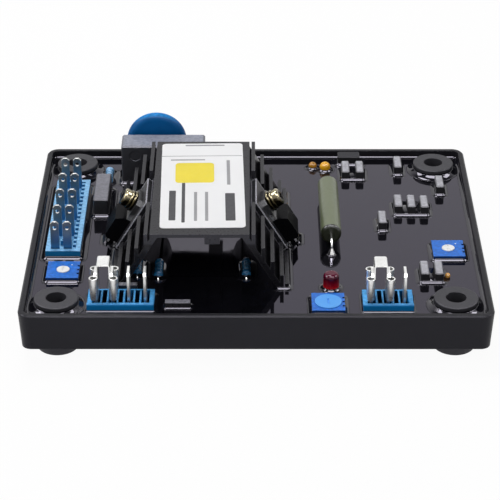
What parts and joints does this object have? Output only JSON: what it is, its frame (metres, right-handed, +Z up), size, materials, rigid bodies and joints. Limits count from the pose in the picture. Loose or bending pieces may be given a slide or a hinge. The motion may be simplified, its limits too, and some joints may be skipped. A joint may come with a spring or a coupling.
{
  "type": "automatic voltage regulator",
  "caption": "Potted automatic voltage regulator: black tray on rubber bushes, with a finned heatsink arch, push-on terminals, plug-in links and trimmers.",
  "frame": {"origin": "centre of the tray, on the plane under the feet", "axes": "+X to the right along the longest side, +Y to the back, +Z up out of the tray"},
  "size_m": [0.15, 0.118, 0.0362],
  "materials": {
    "tray_plastic": "satin black moulding",
    "resin": "glossy black casting",
    "board_laminate": "glass laminate",
    "bush_rubber": "matt black rubber",
    "block_blue": "satin light blue moulding",
    "tinned_terminal": "bright tin plate",
    "header_blue": "satin blue moulding",
    "trimmer_blue": "glossy blue moulding",
    "rotor_white": "matt white",
    "rotor_blue": "matt light blue",
    "black_anodised": "black anodised extrusion",
    "label_white": "matt white",
    "insulator_grey": "matt sheet",
    "device_black": "matt black moulding",
    "device_metal": "satin tinned metal",
    "screw_brass": "yellow plating",
    "box_grey": "satin grey moulding",
    "disc_blue": "glossy blue lacquer",
    "narrow_black": "satin black moulding",
    "corner_blue": "light blue lacquer",
    "resistor_blue": "dark blue lacquer",
    "enamel_green": "olive green enamel",
    "lead_tin": "tinned wire",
    "lamp_red": "dark red, clear finish",
    "bead_amber": "amber lacquer",
    "bead_orange": "orange lacquer",
    "film_grey": "matt dark moulding",
    "network_black": "black coating"
  },
  "bodies": {
    "base": {"tray": "tray_plastic", "resin": "resin", "circuit_board": "board_laminate", "bush_front_left": "bush_rubber", "bush_front_right": "bush_rubber", "bush_back_left": "bush_rubber", "bush_back_right": "bush_rubber", "terminal_block": "block_blue", "terminal_tabs": "tinned_terminal", "left_header": "header_blue", "left_header_tabs": "tinned_terminal", "right_header": "header_blue", "right_header_tabs": "tinned_terminal", "left_trimmer": "trimmer_blue", "right_trimmer": "trimmer_blue", "front_trimmer": "trimmer_blue", "heatsink": "black_anodised", "label": "label_white", "left_insulator": "insulator_grey", "left_device": "device_black", "left_device_frame": "device_metal", "left_washer": "screw_brass", "left_spring_washer": "screw_brass", "left_screw": "screw_brass", "right_insulator": "insulator_grey", "right_device": "device_black", "right_device_frame": "device_metal", "right_washer": "screw_brass", "right_spring_washer": "screw_brass", "right_screw": "screw_brass", "box_capacitor": "box_grey", "surge_disc": "disc_blue", "narrow_capacitor": "narrow_black", "corner_resistor": "corner_blue", "arch_resistors": "resistor_blue", "wirewound_resistor": "enamel_green", "component_leads": "lead_tin", "indicator_lamp": "lamp_red", "back_bead_small": "bead_amber", "back_bead_large": "bead_amber", "side_bead": "bead_orange", "film_capacitor_1": "film_grey", "film_capacitor_2": "film_grey", "film_capacitor_3": "film_grey", "film_capacitor_4": "film_grey", "film_capacitor_5": "film_grey", "film_capacitor_6": "film_grey", "film_capacitor_7": "film_grey", "film_capacitor_8": "film_grey", "film_capacitor_9": "film_grey", "film_capacitor_10": "film_grey", "wide_capacitor": "film_grey", "front_network": "network_black", "rear_network": "network_black"},
    "left_rotor": {"left_rotor": "rotor_white"},
    "right_rotor": {"right_rotor": "rotor_white"},
    "front_rotor": {"front_rotor": "rotor_blue"},
    "left_link": {"left_link": "tinned_terminal"},
    "right_link": {"right_link": "tinned_terminal"}
  },
  "joints": [
    {"name": "left_rotor_turn", "type": "hinge", "parent": "base", "child": "left_rotor", "pos_m": [-0.0629, -0.02751, 0.0164], "axis": [0, 0, 1], "range_deg": [-135, 135]},
    {"name": "right_rotor_turn", "type": "hinge", "parent": "base", "child": "right_rotor", "pos_m": [0.0639, -0.0132, 0.0164], "axis": [0, 0, 1], "range_deg": [-135, 135]},
    {"name": "front_rotor_turn", "type": "hinge", "parent": "base", "child": "front_rotor", "pos_m": [0.0229, -0.048, 0.0164], "axis": [0, 0, 1], "range_deg": [-135, 135]},
    {"name": "left_link_pull", "type": "slide", "parent": "base", "child": "left_link", "axis": [0, 0, 1], "range_m": [0, 0.0095]},
    {"name": "right_link_pull", "type": "slide", "parent": "base", "child": "right_link", "axis": [0, 0, 1], "range_m": [0, 0.0095]}
  ]
}
